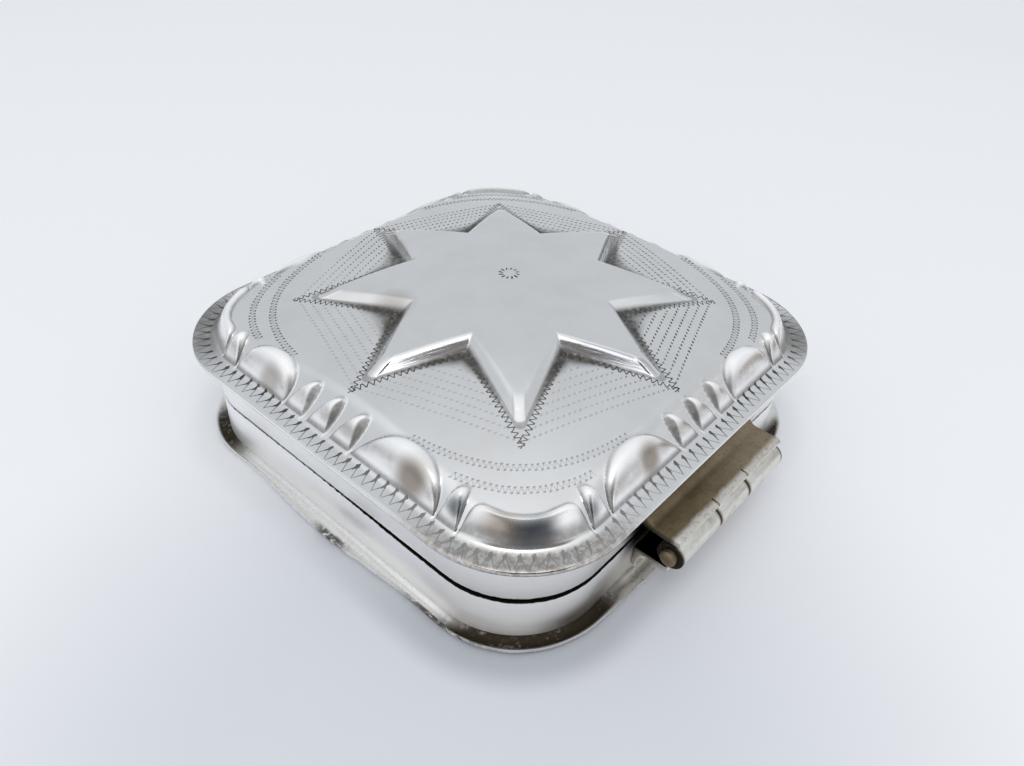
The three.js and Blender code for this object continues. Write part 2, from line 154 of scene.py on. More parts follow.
class Value:
    """A socket of a node tree, so that sums on it read as sums."""

    def __init__(self, nodes, socket):
        self.nodes = nodes
        self.socket = socket

    def __getitem__(self, name):
        """Another output of the same node."""
        return Value(self.nodes, self.socket.node.outputs[name])

    def math(self, operation, *others):
        return self.nodes.node("ShaderNodeMath", dict(enumerate((self, *others))), operation=operation)

    def size(self):
        return self.math("ABSOLUTE")

    def __rsub__(self, other):
        return self * -1 + other

    def __rtruediv__(self, other):
        return self.math("POWER", -1) * other

    __add__ = __radd__ = sum_of("ADD")
    __mul__ = __rmul__ = sum_of("MULTIPLY")
    __sub__, __truediv__, __pow__ = sum_of("SUBTRACT"), sum_of("DIVIDE"), sum_of("POWER")
    most, least = sum_of("MAXIMUM"), sum_of("MINIMUM")

    def span(self, low, high, first=0.0, last=1.0):
        """A soft step from the first level to the last, as this goes from low to high."""
        sockets = {"Value": self, "From Min": low, "From Max": high, "To Min": first, "To Max": last}
        return self.nodes.node("ShaderNodeMapRange", sockets, interpolation_type="SMOOTHSTEP")

    def within(self, low, high):
        """A soft step between two lengths in mm."""
        return self.span(low * MM, high * MM)

    def mix(self, first, second):
        """The first colour where this is nothing, the second where it is one."""
        return self.nodes.node("ShaderNodeMix", {0: self, 6: first, 7: second}, out=2, data_type="RGBA")

    def bump(self, strength, depth):
        sockets = {"Strength": strength, "Distance": depth * MM, "Height": self}
        return self.nodes.node("ShaderNodeBump", sockets)

    def parts(self):
        x = self.nodes.node("ShaderNodeSeparateXYZ", {0: self})
        return x, x["Y"], x["Z"]

    def along(self, way):
        return self.nodes.vector("DOT_PRODUCT", self, way, "Value")

    def away(self, place):
        return self.nodes.vector("DISTANCE", self, place, "Value")

    def near(self, place, reach):
        """One at a place in mm, falling to nothing at its reach."""
        return self.away(tuple(part * MM for part in place)).within(reach, 0.25 * reach)

    def noise(self, scale, detail=2.0, roughness=0.5):
        sockets = {"Vector": self, "Scale": scale, "Detail": detail, "Roughness": roughness}
        return self.nodes.node("ShaderNodeTexNoise", sockets, noise_dimensions="3D")

    def stretched(self, scale, turn=(0, 0, 0)):
        return self.nodes.node("ShaderNodeMapping", {"Vector": self, "Rotation": turn, "Scale": scale})


class Nodes:
    """A node tree of a finish, of the world or of a shape."""

    def __init__(self, tree):
        self.tree = tree

    def node(self, kind, sockets=None, out=0, **settings):
        made = self.tree.nodes.new(kind)
        for name, setting in settings.items():
            setattr(made, name, setting)
        for name, value in (sockets or {}).items():
            self.feed(made.inputs[name], value)
        return Value(self, made.outputs[out]) if made.outputs else made

    def feed(self, socket, value):
        if isinstance(value, Value):
            self.tree.links.new(value.socket, socket)
        else:
            socket.default_value = value

    def attribute(self, name):
        return self.node("ShaderNodeAttribute", out="Fac", attribute_name=name)

    def named(self, name):
        return self.node("GeometryNodeInputNamedAttribute", {"Name": name}, data_type="FLOAT")

    def joined(self, x=0.0, y=0.0, z=0.0):
        return self.node("ShaderNodeCombineXYZ", {0: x, 1: y, 2: z})

    def vector(self, operation, first, second, out=0):
        return self.node("ShaderNodeVectorMath", {0: first, 1: second}, out, operation=operation)


def grey(level, warmth=0.0):
    """A colour of that level, a little warm or cold."""
    return (level * (1 + warmth), level, level * (1 - warmth), 1.0)


# Meshes

def new_object(name, data):
    made = bpy.data.objects.new(name, data)
    bpy.context.scene.collection.objects.link(made)
    return made


def mesh_of(name, points, faces, sharp=40):
    """A mesh in metres, smooth but for edges over the sharp angle."""
    mesh = bpy.data.meshes.new(name)
    mesh.from_pydata([tuple(point) for point in points], [], faces)
    soften(mesh, sharp)
    return mesh


def soften(mesh, sharp):
    mesh.shade_smooth()
    mesh.set_sharp_from_angle(angle=math.radians(sharp))


def outward(mesh):
    """Merges doubles and turns every face outwards."""
    work = bmesh.new()
    work.from_mesh(mesh)
    bmesh.ops.remove_doubles(work, verts=work.verts, dist=1e-7)
    bmesh.ops.recalc_face_normals(work, faces=work.faces)
    work.to_mesh(mesh)
    work.free()


def mark(mesh, name, values):
    """Keeps a number for each point of a mesh, for the shape and finish trees."""
    layer = mesh.attributes.new(name, "FLOAT", "POINT")
    layer.data.foreach_set("value", np.asarray(values, np.float32))


def row_faces(starts, count):
    """Faces between rows of points that close on themselves, from where each row starts."""
    return [(near + i, far + i, far + (i + 1) % count, near + (i + 1) % count)
            for near, far in zip(starts, starts[1:]) for i in range(count)]


def rings_mesh(name, top, rings, bottom):
    """A closed surface that runs from a top pole over rings of points to a bottom pole."""
    count = len(rings[0])
    points = np.concatenate([[top], *rings, [bottom]])
    last = len(points) - 1
    foot = last - count
    faces = row_faces(range(1, last, count), count)
    for i in range(count):
        j = (i + 1) % count
        faces += [(0, 1 + i, 1 + j), (last, foot + j, foot + i)]
    return mesh_of(name, points, faces)


def settle(piece):
    """Turns what the modifiers make into a plain mesh."""
    seen = bpy.context.evaluated_depsgraph_get()
    shape = piece.evaluated_get(seen)
    mesh = bpy.data.meshes.new_from_object(shape, preserve_all_data_layers=True, depsgraph=seen)
    mesh.name = piece.name
    piece.modifiers.clear()
    piece.data = mesh


def shape_tree(name, sizes, **others):
    """A geometry tree with a shape in and out, a finish, and named inputs for sizes and other kinds."""
    tree = bpy.data.node_groups.new(name, "GeometryNodeTree")
    tree.interface.new_socket("Shape", in_out="INPUT", socket_type="NodeSocketGeometry")
    tree.interface.new_socket("Shape", in_out="OUTPUT", socket_type="NodeSocketGeometry")
    for size, kind in {**dict.fromkeys(sizes, "Float"), **others, "Finish": "Material"}.items():
        tree.interface.new_socket(size, in_out="INPUT", socket_type="NodeSocket" + kind)
    nodes = Nodes(tree)
    return nodes, nodes.node("NodeGroupInput")


def finish_shape(nodes, size, shape, place):
    """Ends a geometry tree: moves the points of a shape to their place and gives it its finish."""
    moved = nodes.node("GeometryNodeSetPosition", {"Geometry": shape, "Position": place})
    coated = nodes.node("GeometryNodeSetMaterial", {"Geometry": moved, "Material": size["Finish"]})
    nodes.node("NodeGroupOutput", {"Shape": coated})
    return nodes.tree


def evenly(nodes, curve, length):
    """A curve cut into equal lengths."""
    return nodes.node("GeometryNodeResampleCurve", {"Curve": curve, "Length": length}, mode="LENGTH")


def run_shape(piece, tree, sizes):
    """Runs a geometry tree on a piece and settles it."""
    modifier = piece.modifiers.new(tree.name, "NODES")
    modifier.node_group = tree
    for socket in tree.interface.items_tree:
        if socket.in_out == "INPUT" and socket.name in sizes:
            modifier[socket.identifier] = sizes[socket.name]
    settle(piece)


def put(piece, body, slot, *nodes):
    """Puts a finished piece on its body, in place of the nodes that it stands for."""
    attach(piece, body)
    if nodes:
        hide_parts(*nodes)


# Finishes

def new_finish(name):
    """A finish with its tree and the place on the piece."""
    material = bpy.data.materials.new(name)
    material.use_nodes = True
    nodes = Nodes(material.node_tree)
    return material, nodes, nodes.node("ShaderNodeTexCoord", out="Object")


def coat(nodes, sockets):
    """Feeds the finish's shader."""
    shader = nodes.tree.nodes["Principled BSDF"]
    for name, value in sockets.items():
        nodes.feed(shader.inputs[name], value)


def metal(nodes, color, rough, relief=None, share=1.0):
    """Feeds the shader of a finish that is metal, or metal for a share of it."""
    coat(nodes, {"Base Color": color, "Metallic": share, "Roughness": rough})
    if relief:
        coat(nodes, {"Normal": relief})


def brushed(spot):
    """Fine lines that run along a wall."""
    return spot.stretched((160, 160, 9000)).noise(1.0, 4, 0.65)


def hairlines(spot):
    """Fine polishing scratches that cross in two directions."""
    first = spot.stretched((900, 16000, 900), (0, 0, 0.5)).noise(1.0, 3)
    second = spot.stretched((14000, 1100, 1100), (0, 0, 0.2)).noise(1.0, 3)
    return first * 0.5 + second * 0.5


def soft_patches(spot, places):
    """Soft patches at places of the piece: stains, and on the lid's lobes painted reflections too."""
    stain, *others = [spot.near(place, reach) * strength for *place, reach, strength in places]
    for other in others:
        stain = stain.most(other)
    return stain


def embossed_silver():
    """Burnished silver of the lid: satin on the lobes, dark in the star's valleys and the border's folds,
    with painted shade on some flanks of the star and the flutes, and painted reflections on the lobes and on
    star facets.
    """
    material, nodes, spot = new_finish("embossed_silver")
    bevel, nook, beyond = nodes.attribute("bevel"), nodes.attribute("nook"), nodes.attribute("beyond")
    inset, lobe, inside = nodes.attribute("inset"), nodes.attribute("lobe"), nodes.attribute("inside")
    cloud, speck = spot.noise(260, 4, 0.6), spot.noise(2400, 3, 0.6)
    x, y, _ = spot.parts()
    normal = nodes.node("ShaderNodeTexCoord", out="Normal")
    facing_x, facing_y, _ = normal.parts()
    on_lobe = lobe.within(0, 0.25)

    valley = nook * nook * (x + y).span(9 * MM, 6 * MM, 1.5 * MM, 2.2 * MM) + 0.25 * MM
    star_foot = beyond.span(valley, valley * 0.2) * bevel.span(nook * 0.7 + 0.1, 0.0)
    star_foot = star_foot * nook.span(0.0, 0.8, 0.5, 1.0)
    # Painted shade: the star's bevels that face away from the near corner are darkened.
    painted_flank_shade = normal.along(FAR_WAY).span(0.12, 0.4)
    painted_flank_shade = painted_flank_shade * bevel.span(1.3, 0.6) * bevel.span(-0.25, 0.0)
    fold = lobe.within(0.4, 0.12) * lobe.within(0, 0.06) * 0.6
    fold = fold * inset.within(0.9, 1.5) * inset.within(4.0, 3.0)
    left_corner = spot.near(LEFT_CORNER, 7) * inset.within(2.6, 1.4)
    right_corner = spot.near(RIGHT_CORNER, 4.5) * inset.within(2.8, 1.4)
    # Painted shade: the flanks of the flutes that face the near corner are darkened.
    shade = facing_y.span(0.15, 0.45) * spot.near(LEFT_FLUTES, 7.5)
    shade = shade.most(facing_x.span(0.15, 0.45) * spot.near(HINGE_FLUTES, 7.5))
    shade = shade * lobe.within(0.08, 0.2) * (1 - inside)
    # Dirt in the border's folds, darker at the star's foot and at the two far corners, and the painted shade
    # of the flanks, all in one dark colour.
    darkening = star_foot.most(fold).most(left_corner.most(right_corner) * 0.7)
    darkening = darkening.most(painted_flank_shade * 0.7).most(shade * 0.85)
    darkening = darkening * (speck + cloud * 0.6).span(0.35, 0.95, 0.6, 1.0)

    # Brown stains on the lobes, the star and the rim; on the lobes partly painted brown reflection.
    stain_and_reflection = inset.within(1.7, 2.0) * inset.within(2.6, 2.2) * lobe.within(0.3, 0.6)
    stain_and_reflection = stain_and_reflection * (cloud + speck * 0.3).span(0.45, 0.8, 0.1, 0.45)
    stain_and_reflection = stain_and_reflection.most(soft_patches(spot, BROWN_STAINS_AND_REFLECTIONS) * on_lobe)
    stain_and_reflection = stain_and_reflection.most(spot.near(STAR_STAIN, 2.6) * bevel.span(-0.1, 0.1) * 0.5)
    rim_cast = inset.within(1.6, 1.2) * (x + y).within(27, 33)
    stain_and_reflection = stain_and_reflection.most(rim_cast * speck.span(0.35, 0.65, 0.35, 0.75))
    # Painted reflection: star bevels near one place that face one way are made lavender-grey.
    painted_facet_reflection = normal.along(REFLECTING_FACET_WAY).span(0.12, 0.25) * bevel.span(0.0, 0.15)
    painted_facet_reflection = painted_facet_reflection * bevel.span(1.35, 1.2) * spot.near(REFLECTING_FACET, 6)
    # Painted reflection: dark blue patches on the lobes by the near corner.
    painted_blue_reflection = soft_patches(spot, BLUE_REFLECTIONS) * on_lobe

    silver = cloud.span(0.3, 0.75).mix(grey(0.91, -0.008), grey(0.85, 0.006))
    silver = on_lobe.mix(silver, grey(0.98))
    color = (inside * 0.6).mix(silver, DULL_INSIDE)
    color = stain_and_reflection.mix(color, BROWN)
    color = (painted_facet_reflection * 0.95).mix(color, FACET_REFLECTION_GREY)
    color = painted_blue_reflection.mix(color, REFLECTED_BLUE)
    color = darkening.mix(color, DIRT_AND_SHADE)

    scratch = hairlines(spot)
    rough = 0.15 + cloud.span(0.3, 0.8) * 0.06 + scratch * 0.06
    rough = rough + darkening * 0.25 + inside * 0.12 + on_lobe * 0.06
    chased = nodes.joined(bevel * 4, nook * 2.5).noise(1.0, 3, 0.6)
    chased = chased * bevel.span(0.0, 0.3) * bevel.span(1.5, 1.1)
    satin = on_lobe * inset.within(2.2, 3.0) * (1 - inside) * 0.8
    metal(nodes, color, rough, (scratch + chased * 6).bump(0.12, 0.02), 1 - satin)
    return material


def engraved_line(name, level, way, start, end, most):
    """The dark bottom of an engraved line, rubbed bright along a way over the lid."""
    material, nodes, spot = new_finish(name)
    cloud = spot.noise(900, 3, 0.6)
    rubbed = spot.along(way).within(start, end) * most
    dark = cloud.span(0.3, 0.75).mix(grey(level, 0.03), grey(level * 2.2, 0.02))
    metal(nodes, rubbed.mix(dark, grey(0.68)), 0.38 + cloud * 0.25)
    return material


def sheet_silver():
    """Satin silver of the walls, brushed along them, stained by the hinge, with painted shade in black in the
    hinge's hollow and along the parting line.
    """
    material, nodes, spot = new_finish("sheet_silver")
    x, y, z = spot.parts()
    lines = brushed(spot)
    cloud, speck = spot.noise(210, 4, 0.6), spot.noise(2600, 3, 0.6)
    from_hinge = (z - HINGE_Z).size()
    # Painted shade: black along the parting line, wider towards the near corner.
    wide = (x + y).span(14 * MM, 30 * MM, 0.11 * MM, 0.21 * MM)
    seam = (from_hinge + (speck - 0.5) * (0.2 * MM)).span(wide + 0.07 * MM, wide)
    hinge_side = y.span(WALL_HIGH.y - 1.2 * MM, WALL_HIGH.y - 0.1 * MM)
    # Painted shadow: black in the hollow by the hinge.
    hollow = hinge_side * x.size().within(9.5, 7.0) * from_hinge.within(2.3, 0.6)
    black = hollow.most(seam)
    foot = z.span(WALL_LOW.z + 0.8 * MM, WALL_LOW.z) * y.within(2, 16)
    tarnish = x.size().within(15, 7) * z.span(BAND_LOW.z + 1.5 * MM, WALL_LOW.z)
    stain = foot * 0.3 + hinge_side * tarnish * 0.5
    stain = stain * (cloud + speck * 0.4).span(0.3, 0.95, 0.3, 1.0)
    near_corner = (x + y).within(26, 32)
    silver = lines.span(0.3, 0.7).mix(grey(0.97), grey(0.91, 0.004))
    silver = (near_corner * 0.5).mix(silver, WARM_SILVER)
    color = black.mix(stain.mix(silver, TARNISH), GAP_SHADE_BLACK)
    rough = 0.28 + lines * 0.12 + cloud.span(0.35, 0.75) * 0.06 + stain * 0.15 + black * 0.3
    satin = (near_corner * 0.6).most(0.3) * z.span(BAND_LOW.z, WALL_LOW.z) * (y - x).within(5, 0)
    metal(nodes, color, rough, lines.bump(0.16, 0.02), 1 - satin)
    return material


def bezel_silver():
    """The bezel inside the box: dull, and black along the parting line as painted shade in the gap."""
    material, nodes, spot = new_finish("bezel_silver")
    cloud = spot.noise(320, 4, 0.6)
    # Painted shade: the bezel is black along the parting line, where the gap is in shade.
    seam = (spot.parts()[2] - HINGE_Z).size().within(0.75, 0.25)
    silver = cloud.span(0.3, 0.75).mix(grey(0.82, 0.01), DULL_BEZEL)
    color = seam.mix(silver, BEZEL_GAP_SHADE)
    metal(nodes, color, 0.28 + brushed(spot) * 0.15 + seam * 0.3)
    return material


def base_silver():
    """Worn base plate: brown-black tarnish in the crevice of the flange, a bright rubbed edge."""
    material, nodes, spot = new_finish("base_silver")
    x, y, _ = spot.parts()
    out = nodes.attribute("flange")
    cloud, speck = spot.noise(190, 4, 0.6), spot.noise(2600, 4, 0.65)
    near_corner = (x + y).within(29, 32.5)
    hinge_side = y.within(17.5, 18.8) * x.within(-4, -10)
    heavy = near_corner.most(hinge_side).most(soft_patches(spot, FLANGE_GRIME))
    crevice = out.span(1.0, heavy * 0.5 + 0.2) * out.span(-0.4, 0.0)
    rubbed = (speck + cloud * 0.7 - heavy * 0.3).span(0.55, 0.95)
    blots = soft_patches(spot, FLANGE_BLOTS) * out.span(0.5, 0.7)
    blots = blots * (speck + cloud * 0.3).span(0.5, 0.66)
    grime = (crevice * heavy * (1 - rubbed * 0.6)).most(blots * 0.85)
    on_lip = out.span(0.45, 0.75) * x.most(y).within(17, 18)
    spots = (speck + cloud * 0.5).span(0.86, 1.0) * on_lip
    silver = speck.span(0.35, 0.7).mix(grey(0.92, 0.004), WORN_SILVER)
    worn = (heavy * crevice * 0.3).most(spots * 0.7).mix(silver, TARNISH)
    color = grime.mix(worn, GRIME)
    metal(nodes, color, 0.22 + speck * 0.12 + grime * 0.3, speck.bump(0.2, 0.03))
    return material


def tarnished_silver():
    """Hinge plates: brown tarnish towards the wall, a lighter rubbed lip, and painted shade in black on the
    knuckle side.
    """
    material, nodes, spot = new_finish("tarnished_silver")
    x, y, z = spot.parts()
    cloud, speck = spot.noise(420, 4, 0.6), spot.noise(4200, 4, 0.7)
    rubbed = (y - WALL_HIGH.y + (cloud - 0.5) * (0.5 * MM)).within(2.5, 3.0)
    rubbed = rubbed.most((z - HINGE_Z).within(-0.6, -1.4))
    tan = cloud.span(0.3, 0.75).mix((0.25, 0.195, 0.12, 1), (0.15, 0.115, 0.07, 1))
    tan = (x.within(4, -6) * 0.35).mix(tan, (0.5, 0.43, 0.33, 1))
    tan = (speck.span(0.52, 0.72) * 0.6).mix(tan, (0.12, 0.09, 0.06, 1))
    light = speck.span(0.5, 0.72).mix((0.72, 0.69, 0.63, 1), (0.4, 0.36, 0.3, 1))
    # Painted shade: the plates' faces towards the knuckles are black.
    color = nodes.attribute("hollow").mix(rubbed.mix(tan, light), HOLLOW_SHADE_BLACK)
    metal(nodes, color, 0.42 - rubbed * 0.14 + speck * 0.14, speck.bump(0.35, 0.03))
    return material


def hinge_silver():
    """Knuckle tubes: rubbed silver with dirt at the seams."""
    material, nodes, spot = new_finish("hinge_silver")
    along = spot.parts()[0].size()
    cloud = spot.noise(700, 4, 0.6)
    speck = spot.stretched((1500, 5200, 5200)).noise(1.0, 4, 0.65)
    seam = (along - SEAM_X).size().within(0.35, 0.04)
    end = (along - PIN_HIGH.x).within(-0.9, -0.5)
    darkening = seam.most(cloud.span(0.52, 0.8) * 0.5).most(end)
    silver = speck.span(0.35, 0.7).mix((0.8, 0.79, 0.76, 1), (0.68, 0.65, 0.58, 1))
    color = darkening.mix(silver, end.mix((0.2, 0.165, 0.12, 1), (0.03, 0.026, 0.02, 1)))
    metal(nodes, color, 0.27 + speck * 0.16 + darkening * 0.15, speck.bump(0.25, 0.02))
    return material


def pin_metal():
    """The brown pin, rough at its filed ends."""
    material, nodes, spot = new_finish("pin_metal")
    cloud, speck = spot.noise(1500, 4, 0.65), spot.noise(7000, 3, 0.7)
    brown = cloud.span(0.3, 0.7).mix((0.33, 0.26, 0.17, 1), (0.2, 0.155, 0.1, 1))
    color = (speck.span(0.55, 0.75) * 0.6).mix(brown, (0.5, 0.43, 0.32, 1))
    metal(nodes, color, 0.4 + speck * 0.25, speck.bump(0.5, 0.03))
    return material


# Lid

def outline(along, inset, turn, reference=RIM_WIDTH):
    """Points on the rim's outline moved in by an inset. The way along is measured at the reference inset."""
    along = np.asarray(along)
    bend = np.maximum(0, np.abs(along) - STRAIGHT) / (RIM_CORNER - reference)
    radius = RIM_CORNER - inset
    x = STRAIGHT + radius * np.cos(bend)
    y = np.sign(along) * (np.minimum(np.abs(along), STRAIGHT) + radius * np.sin(bend))
    return turned(np.stack([x, y], -1), turn)


def turned(points, turn):
    """Points turned by quarter turns about the middle."""
    angle = np.asarray(turn) * math.pi / 2
    x, y = points[..., 0], points[..., 1]
    return np.stack([x * np.cos(angle) - y * np.sin(angle), x * np.sin(angle) + y * np.cos(angle)], -1)


def border_stations():
    """Half a side of the border: the way along, and the lobe's height, reach and crest exponent there."""
    rows = []
    for start, width, reach, sag, height, (slim, squareness, keenness, taper, crest) in LOBES:
        steps = 2 * round(3 + 2.2 * width)
        across = slim * np.sin(math.pi * (np.arange(steps) / steps - 0.5))
        if slim < 1:
            across = np.concatenate([[-1, -(1 + slim) / 2], across, [slim, (1 + slim) / 2]])
        full = np.maximum(0, 1 - np.abs(across / slim) ** squareness)
        along = (start + width / 2 * (1 + across)) * MM
        reaches = (reach + sag * across ** 2) * full ** taper * MM
        crests = np.full(len(across), math.log(0.5) / math.log(crest))
        rows.append(np.column_stack([along, height * full ** keenness * MM, reaches, crests]))
    rows = np.concatenate(rows)
    slack = 1e-9
    return rows[(rows[:, 0] >= -slack) & (rows[:, 0] <= HALF_SIDE + slack)]


def star_line(count, valley_at, side_tip, corner_tip, valley):
    """The star's outline over half a side, from a round side tip over the valley to a round corner tip,
    and how far each point lies from its tip towards the valley."""
    step = np.arange(count)
    far = step > valley_at
    from_tip = np.where(far, count - 1 - step, step)
    steps = np.where(far, count - 1 - valley_at, valley_at) - TIP_STEPS
    nook = np.maximum(0, (from_tip - TIP_STEPS) / steps)
    round_tip = math.pi / 2 * np.minimum(1, from_tip / TIP_STEPS)
    tip_x = np.where(far, corner_tip, side_tip) - STAR_TIP_HALF * (1 - np.cos(round_tip))
    tip = np.stack([tip_x, STAR_TIP_HALF * np.sin(round_tip)], -1)
    points = tip + (valley * VALLEY_WAY - tip) * nook[:, None]
    mirrored = np.stack([points[:, 0] + points[:, 1], points[:, 0] - points[:, 1]], -1) * math.sqrt(0.5)
    return np.where(far[:, None], mirrored, points), nook


def stand(bevel):
    """Share of the star's height across its bevel: a soft foot, a flat slope and a long round shoulder."""
    slope, bend = 0.85, 0.75
    if bevel < -BEVEL_FOOT:
        return slope / (-4 * BEVEL_FOOT) * (bevel - BEVEL_FOOT) ** 2
    if bevel < bend:
        return slope * bevel
    return 1 - 0.5 * (BEVEL_SHOULDER - bevel) ** 2


def worn_low(points):
    """Share of the lobes' height that is left: less on the two sides away from the near corner."""
    start, fade, loss = 4, 10, 0.3
    away = np.clip((-points.sum(axis=1) / MM - start) / fade, 0, 1)
    return 1 - loss * away ** 2 * (3 - 2 * away)


def lid_blank():
    """The flat sheet for the lid, ringed along the star and border, and marked for embossing and finish."""
    half = border_stations()
    last = len(half) - 1
    steps = np.arange(-last, last)
    index = np.tile(np.abs(steps), 4)
    flip = np.tile(np.where(steps < 0, -1, 1), 4)
    turn = np.repeat(np.arange(4), 2 * last)
    along, height, reach, crest = half[index].T
    along = along * flip
    height = height * worn_low(outline(along, RIM_WIDTH, turn))
    lean = FLUTE_LEAN * (2 * (turn % 2) - 1) * np.clip(1 + (FLUTES_END - np.abs(along)) / LEAN_FADE, 0, 1)
    shell_start, shell_width = LOBES[2][:2]
    valley_at = int(np.argmin(np.abs(half[:, 0] - (shell_start + shell_width / 2) * MM)))

    def star_ring(cut_tip, cut_valley):
        line, nook = star_line(len(half), valley_at, STAR_SIDE_TIP - cut_tip, STAR_CORNER_TIP - cut_tip,
                               STAR_VALLEY - cut_valley)
        return turned(line[index] * np.stack([np.ones_like(flip), flip], -1), turn), nook[index]

    def lobes(inset, sheet):
        length = np.maximum(reach - sheet, 1e-9)
        share = np.clip((inset - RIM_WIDTH - sheet) / length, 0, 1)
        return height * np.maximum(0, np.sin(math.pi * share ** crest)) ** LOBE_SOFTNESS

    def border_line(inset):
        foot = np.clip(1 - (inset - RIM_WIDTH) / FLUTE_REACH, 0, 1)
        return outline(along + lean * foot, inset, turn)

    foot, nook = star_ring(0, 0)
    top = star_ring(STAR_TIP_BEVEL, STAR_VALLEY_BEVEL)[0]
    crown, hem = foot + (top - foot) * BEVEL_SHOULDER, foot + (top - foot) * BEVEL_FOOT
    inner = outline(along, RIM_WIDTH + BORDER_WIDTH, turn)
    middle = {"bevel": BEVEL_SHOULDER, "stand": 1, "inset": RIM_HALF}
    usual = {"bevel": BEVEL_FOOT, "stand": 0, "inset": RIM_HALF, "lobe": 0, "nook": nook, "beyond": 1,
             "drop": 0, "inside": 0}
    rings, marks = [], {name: [] for name in usual}

    def add(points, **values):
        rings.append(np.column_stack([points, np.zeros(len(points))]))
        for name, value in {**usual, **values}.items():
            marks[name].append(np.broadcast_to(value, len(points)))

    def add_bevels(bevels, **values):
        for bevel in bevels:
            add(foot + (top - foot) * bevel, bevel=bevel, stand=stand(bevel), beyond=0, **values)

    under = {"drop": LID_SHEET, "inside": 1}
    for share in (0.08, 0.2, 0.34, 0.48, 0.62, 0.76, 0.88, 0.95):
        add(crown * share, bevel=BEVEL_SHOULDER, stand=1, beyond=0)
    add_bevels((1.6, 1.5, 1.4, 1.3, 1.2, 1.1, 1, 0.9, 0.8, 0.7, 0.55, 0.4, 0.25, 0.15, 0.05, -0.05, -0.15,
                -0.25))
    width = np.linalg.norm(inner - hem, axis=1)
    for share in (0.03, 0.08, 0.15, 0.25, 0.4, 0.55, 0.7, 0.85):
        add(hem + (inner - hem) * share, beyond=width * share)
    for inset in RIM_WIDTH + BORDER_WIDTH * np.linspace(1, 0, 30):
        add(border_line(inset), inset=inset, lobe=lobes(inset, 0))
    for inset, drop in ((1.25, 0), (1.1, 0), (0.9, 0), (0.6, 0), (0.3, 0), (0.1, 0), (0.03, 0.06), (0, 0.2),
                        (0.03, 0.34), (0.1, 0.4), (0.8, 0.4), (1.5, 0.4)):
        add(border_line(inset * MM), inset=min(inset, 0.8) * MM if drop else inset * MM, drop=drop * MM)
    for inset in np.linspace(RIM_WIDTH + LID_SHEET, RIM_WIDTH + BORDER_WIDTH, 14):
        add(border_line(inset), inset=inset - LID_SHEET, lobe=lobes(inset, LID_SHEET), **under)
    for share in (0.66, 0.33):
        add(hem + (inner - hem) * share, **under)
    add_bevels((-0.25, 0.25, 0.5, 0.75, 1.1, 1.6), **under)
    for share in (0.66, 0.33):
        add(crown * share, bevel=BEVEL_SHOULDER, stand=1, **under)
    mesh = rings_mesh("lid_sheet", (0, 0, 0), rings, (0, 0, 0))
    for name, values in marks.items():
        pole = middle.get(name, 0)
        mark(mesh, name, np.concatenate([[pole], *values, [under.get(name, pole)]]))
    return mesh


def emboss_tree():
    """Presses the flat sheet over the domes of the field and star, the ramp of the border and its lobes."""
    nodes, size = shape_tree("emboss", (
        "Rim Top", "Rim Width", "Field Crown", "Field Radius", "Star Crown", "Star Radius", "Border Slope",
        "Softness", "Dent Depth", "Dent Size"))
    spot = nodes.node("GeometryNodeInputPosition")
    x, y, _ = spot.parts()
    away = x * x + y * y
    soft = size["Softness"]
    field = size["Field Crown"] - away / (size["Field Radius"] * 2)
    star = size["Star Crown"] - away / (size["Star Radius"] * 2)
    domes = field + (star - field) * nodes.named("stand")
    climb = (nodes.named("inset") - size["Rim Width"]) * size["Border Slope"]
    ramp = climb.most(0) + (soft - climb.size()).most(0) ** 2 / (soft * 4)
    base = domes.least(ramp) - (soft - (domes - ramp).size()).most(0) ** 2 / (soft * 4)
    base = base.most(0)
    dents = spot.noise(1 / size["Dent Size"], 1.5) * size["Dent Depth"] * base.within(0, 1)
    height = size["Rim Top"] + base + nodes.named("lobe") - dents - nodes.named("drop")
    return finish_shape(nodes, size, size, nodes.joined(x, y, height))


def lid_sheet(finish):
    """The embossed lid sheet."""
    piece = new_object("lid_sheet", lid_blank())
    run_shape(piece, emboss_tree(), {
        "Rim Top": RIM_TOP, "Rim Width": RIM_WIDTH, "Field Crown": FIELD_CROWN, "Field Radius": FIELD_RADIUS,
        "Star Crown": STAR_CROWN, "Star Radius": STAR_RADIUS, "Border Slope": BORDER_SLOPE,
        "Softness": BORDER_SOFTNESS, "Dent Depth": 0.1 * MM, "Dent Size": 6 * MM, "Finish": finish,
    })
    soften(piece.data, 75)
    put(piece, "lid", "embossed_silver", "lid_top")
    return piece


# Engraving

def stroke(points, widths, lift=0.014 * MM, sink=0.008 * MM):
    """A cut as a thin closed roof along a line, wide where the graver turned. Returns points and faces."""
    line = np.array(points, float)
    ways = np.gradient(line, axis=0)
    ways /= np.linalg.norm(ways, axis=1)[:, None]
    sides = np.column_stack([-ways[:, 1], ways[:, 0]]) * np.array(widths)[:, None] / 2
    corners = []
    for point, side in zip(line, sides):
        corners.append((*(point + side), -sink))
        corners.append((*(point - side), -sink))
        corners.append((*point, lift))
    faces = [(0, 2, 1)]
    for k in range(len(line) - 1):
        a, b = 3 * k, 3 * k + 3
        faces += [(a, a + 1, b + 1, b), (a + 1, a + 2, b + 2, b + 1), (a + 2, a, b, b + 2)]
    end = 3 * (len(line) - 1)
    faces.append((end, end + 1, end + 2))
    return corners, faces


def cut_object(name):
    """The strokes of one engraving tool as one object."""
    points, faces = [], []
    for line, widths in CUTS[name]:
        more, around = stroke(np.array(line) * MM, np.array(widths) * MM)
        faces += [tuple(len(points) + i for i in face) for face in around]
        points += more
    mesh = mesh_of(name, points, faces)
    outward(mesh)
    return new_object(name, mesh)


